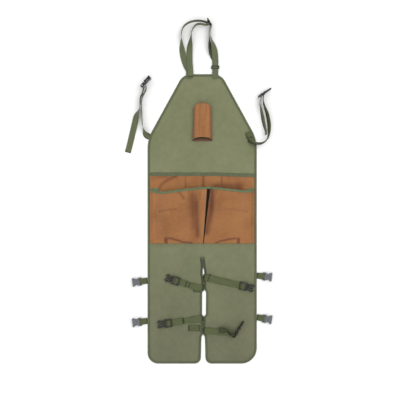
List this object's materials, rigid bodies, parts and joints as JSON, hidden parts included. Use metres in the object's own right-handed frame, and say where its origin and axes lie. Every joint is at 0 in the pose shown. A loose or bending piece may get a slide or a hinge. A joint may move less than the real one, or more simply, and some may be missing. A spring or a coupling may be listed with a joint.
{
  "type": "welding apron",
  "caption": "Split-leg work apron in waxed canvas with leather pockets, a neck strap, waist straps and leg straps closed by side-release buckles.",
  "frame": {"origin": "on the back face, on the centre line, at the middle of the pocket section", "axes": "the apron lies flat on its back: +X to the right seen from the front, +Y from the hem to the neck, +Z out of the front face"},
  "size_m": [0.6088, 1.4166, 0.0357],
  "materials": {
    "canvas": "waxed cotton canvas, olive, fine plain weave",
    "edge_tape": "folded edge tape, grey green, stitched along its inner edge",
    "leather": "split leather, tan brown, napped",
    "webbing": "25 mm webbing, olive, ribbed weave",
    "plastic": "moulded acetal, black, satin"
  },
  "bodies": {
    "waist": {"waist_panel": "canvas", "hip_panel": "canvas", "side_binding_left": "edge_tape", "side_binding_right": "edge_tape", "tool_pocket_layer": "leather", "tool_pocket_binding": "edge_tape", "front_pocket_left": "leather", "front_pocket_right": "leather", "front_pocket_binding_left": "edge_tape", "front_pocket_binding_right": "edge_tape"},
    "bib": {"bib_panel": "canvas", "bib_binding": "edge_tape", "chest_pocket": "leather", "chest_pocket_gusset": "leather", "neck_tab_left": "webbing", "neck_tab_right": "webbing", "waist_tab_right": "webbing"},
    "leg_left": {"leg_panel_left": "canvas", "leg_binding_left": "edge_tape", "stub_left_upper": "webbing", "stub_left_lower": "webbing", "strap_tab_left_upper": "webbing", "strap_tab_left_lower": "webbing"},
    "leg_right": {"leg_panel_right": "canvas", "leg_binding_right": "edge_tape", "stub_right_upper": "webbing", "stub_right_lower": "webbing", "strap_tab_right_upper": "webbing", "strap_tab_right_lower": "webbing"},
    "neck_strap": {"neck_strap_left": "webbing", "neck_strap_right": "webbing", "neck_adjuster": "plastic"},
    "neck_triglide": {"neck_triglide": "plastic"},
    "waist_strap_left": {"waist_strap_left": "webbing"},
    "waist_receiver": {"waist_receiver": "plastic"},
    "waist_strap_right": {"waist_strap_right": "webbing"},
    "waist_insert": {"waist_insert": "plastic"},
    "waist_arm_a": {"waist_arm_a": "plastic"},
    "waist_arm_b": {"waist_arm_b": "plastic"},
    "leg_strap_left_upper": {"leg_strap_left_upper": "webbing", "leg_left_upper_insert": "plastic"},
    "leg_left_upper_arm_a": {"leg_left_upper_arm_a": "plastic"},
    "leg_left_upper_arm_b": {"leg_left_upper_arm_b": "plastic"},
    "leg_strap_left_lower": {"leg_strap_left_lower": "webbing", "leg_left_lower_insert": "plastic"},
    "leg_left_lower_arm_a": {"leg_left_lower_arm_a": "plastic"},
    "leg_left_lower_arm_b": {"leg_left_lower_arm_b": "plastic"},
    "leg_strap_right_upper": {"leg_strap_right_upper": "webbing", "leg_right_upper_insert": "plastic"},
    "leg_right_upper_arm_a": {"leg_right_upper_arm_a": "plastic"},
    "leg_right_upper_arm_b": {"leg_right_upper_arm_b": "plastic"},
    "leg_strap_right_lower": {"leg_strap_right_lower": "webbing", "leg_right_lower_insert": "plastic"},
    "leg_right_lower_arm_a": {"leg_right_lower_arm_a": "plastic"},
    "leg_right_lower_arm_b": {"leg_right_lower_arm_b": "plastic"},
    "receiver_left_upper": {"receiver_left_upper": "plastic"},
    "receiver_left_lower": {"receiver_left_lower": "plastic"},
    "receiver_right_upper": {"receiver_right_upper": "plastic"},
    "receiver_right_lower": {"receiver_right_lower": "plastic"}
  },
  "joints": [
    {"name": "bib_fold", "type": "hinge", "parent": "waist", "child": "bib", "pos_m": [0, 0.16015, 0.00305], "axis": [1, 0, 0], "range_deg": [0, 90]},
    {"name": "leg_left_fold", "type": "hinge", "parent": "waist", "child": "leg_left", "pos_m": [-0.115, -0.20015, 0.00305], "axis": [-1, 0, 0], "range_deg": [0, 90]},
    {"name": "leg_right_fold", "type": "hinge", "parent": "waist", "child": "leg_right", "pos_m": [0.115, -0.20015, 0.00305], "axis": [-1, 0, 0], "range_deg": [0, 90]},
    {"name": "neck_strap_swing", "type": "hinge", "parent": "bib", "child": "neck_strap", "pos_m": [0, 0.5571, 0.00405], "axis": [1, 0, 0], "range_deg": [-90, 95]},
    {"name": "neck_triglide_slide", "type": "slide", "parent": "neck_strap", "child": "neck_triglide", "axis": [0, 1, 0], "range_m": [0, 0.02]},
    {"name": "waist_strap_left_swing", "type": "hinge", "parent": "bib", "child": "waist_strap_left", "pos_m": [-0.2183, 0.2985, 0.0011], "axis": [0.342, 0.9397, 0], "range_deg": [0, 90]},
    {"name": "waist_strap_right_swing", "type": "hinge", "parent": "bib", "child": "waist_strap_right", "pos_m": [0.1974, 0.2901, 0.00445], "axis": [-0.9397, -0.342, 0], "range_deg": [0, 90]},
    {"name": "waist_receiver_tilt", "type": "hinge", "parent": "waist_strap_left", "child": "waist_receiver", "pos_m": [-0.24089, 0.51159, 0.018], "axis": [0, 0, 1], "range_deg": [-20, 20]},
    {"name": "waist_insert_tilt", "type": "hinge", "parent": "waist_strap_right", "child": "waist_insert", "pos_m": [0.24197, 0.4678, 0.018], "axis": [0, 0, 1], "range_deg": [-20, 20]},
    {"name": "waist_arm_a_squeeze", "type": "hinge", "parent": "waist_insert", "child": "waist_arm_a", "pos_m": [0.25986, 0.479, 0.008], "axis": [0.5446, -0.8387, 0], "range_deg": [0, 8], "stiffness_Nm_per_rad": 0.3},
    {"name": "waist_arm_b_squeeze", "type": "hinge", "parent": "waist_insert", "child": "waist_arm_b", "pos_m": [0.25986, 0.479, 0.028], "axis": [-0.5446, 0.8387, 0], "range_deg": [0, 8], "stiffness_Nm_per_rad": 0.3},
    {"name": "leg_strap_left_upper_swing", "type": "hinge", "parent": "leg_left", "child": "leg_strap_left_upper", "pos_m": [-0.00745, -0.331, 0.0009], "axis": [0, 1, 0], "range_deg": [0, 80]},
    {"name": "leg_left_upper_arm_a_squeeze", "type": "hinge", "parent": "leg_strap_left_upper", "child": "leg_left_upper_arm_a", "pos_m": [-0.13015, -0.29923, 0.0076], "axis": [0, 0, -1], "range_deg": [0, 8], "stiffness_Nm_per_rad": 0.3},
    {"name": "leg_left_upper_arm_b_squeeze", "type": "hinge", "parent": "leg_strap_left_upper", "child": "leg_left_upper_arm_b", "pos_m": [-0.12397, -0.2802, 0.0076], "axis": [0, 0, 1], "range_deg": [0, 8], "stiffness_Nm_per_rad": 0.3},
    {"name": "leg_strap_left_lower_swing", "type": "hinge", "parent": "leg_left", "child": "leg_strap_left_lower", "pos_m": [-0.00745, -0.451, 0.0009], "axis": [0, 1, 0], "range_deg": [0, 80]},
    {"name": "leg_left_lower_arm_a_squeeze", "type": "hinge", "parent": "leg_strap_left_lower", "child": "leg_left_lower_arm_a", "pos_m": [-0.15765, -0.48325, 0.0076], "axis": [0, 0, -1], "range_deg": [0, 8], "stiffness_Nm_per_rad": 0.3},
    {"name": "leg_left_lower_arm_b_squeeze", "type": "hinge", "parent": "leg_strap_left_lower", "child": "leg_left_lower_arm_b", "pos_m": [-0.16043, -0.46345, 0.0076], "axis": [0, 0, 1], "range_deg": [0, 8], "stiffness_Nm_per_rad": 0.3},
    {"name": "leg_strap_right_upper_swing", "type": "hinge", "parent": "leg_right", "child": "leg_strap_right_upper", "pos_m": [0.00745, -0.279, 0.0009], "axis": [0, -1, 0], "range_deg": [0, 80]},
    {"name": "leg_right_upper_arm_a_squeeze", "type": "hinge", "parent": "leg_strap_right_upper", "child": "leg_right_upper_arm_a", "pos_m": [0.18991, -0.31258, 0.0076], "axis": [0, 0, -1], "range_deg": [0, 8], "stiffness_Nm_per_rad": 0.3},
    {"name": "leg_right_upper_arm_b_squeeze", "type": "hinge", "parent": "leg_strap_right_upper", "child": "leg_right_upper_arm_b", "pos_m": [0.18541, -0.33207, 0.0076], "axis": [0, 0, 1], "range_deg": [0, 8], "stiffness_Nm_per_rad": 0.3},
    {"name": "leg_strap_right_lower_swing", "type": "hinge", "parent": "leg_right", "child": "leg_strap_right_lower", "pos_m": [0.00745, -0.503, 0.0009], "axis": [0, -1, 0], "range_deg": [0, 80]},
    {"name": "leg_right_lower_arm_a_squeeze", "type": "hinge", "parent": "leg_strap_right_lower", "child": "leg_right_lower_arm_a", "pos_m": [0.1552, -0.48289, 0.009], "axis": [0.848, -0.5299, 0], "range_deg": [0, 8], "stiffness_Nm_per_rad": 0.3},
    {"name": "leg_right_lower_arm_b_squeeze", "type": "hinge", "parent": "leg_strap_right_lower", "child": "leg_right_lower_arm_b", "pos_m": [0.1552, -0.48289, 0.029], "axis": [-0.848, 0.5299, 0], "range_deg": [0, 8], "stiffness_Nm_per_rad": 0.3},
    {"name": "receiver_left_upper_tilt", "type": "hinge", "parent": "leg_left", "child": "receiver_left_upper", "pos_m": [-0.25119, -0.29876, 0.0055], "axis": [-0.1219, 0.9925, 0], "range_deg": [0, 90]},
    {"name": "receiver_left_lower_tilt", "type": "hinge", "parent": "leg_left", "child": "receiver_left_lower", "pos_m": [-0.25119, -0.46476, 0.0055], "axis": [-0.1219, 0.9925, 0], "range_deg": [0, 90]},
    {"name": "receiver_right_upper_tilt", "type": "hinge", "parent": "leg_right", "child": "receiver_right_upper", "pos_m": [0.25119, -0.27736, 0.0055], "axis": [-0.1045, -0.9945, 0], "range_deg": [0, 90]},
    {"name": "receiver_right_lower_tilt", "type": "hinge", "parent": "leg_right", "child": "receiver_right_lower", "pos_m": [0.25117, -0.45096, 0.0055], "axis": [-0.1736, -0.9848, 0], "range_deg": [0, 90]}
  ],
  "couplings": [
    {"joint": "waist_arm_b_squeeze", "follows": "waist_arm_a_squeeze", "ratio": 1},
    {"joint": "leg_left_upper_arm_b_squeeze", "follows": "leg_left_upper_arm_a_squeeze", "ratio": 1},
    {"joint": "leg_left_lower_arm_b_squeeze", "follows": "leg_left_lower_arm_a_squeeze", "ratio": 1},
    {"joint": "leg_right_upper_arm_b_squeeze", "follows": "leg_right_upper_arm_a_squeeze", "ratio": 1},
    {"joint": "leg_right_lower_arm_b_squeeze", "follows": "leg_right_lower_arm_a_squeeze", "ratio": 1}
  ]
}
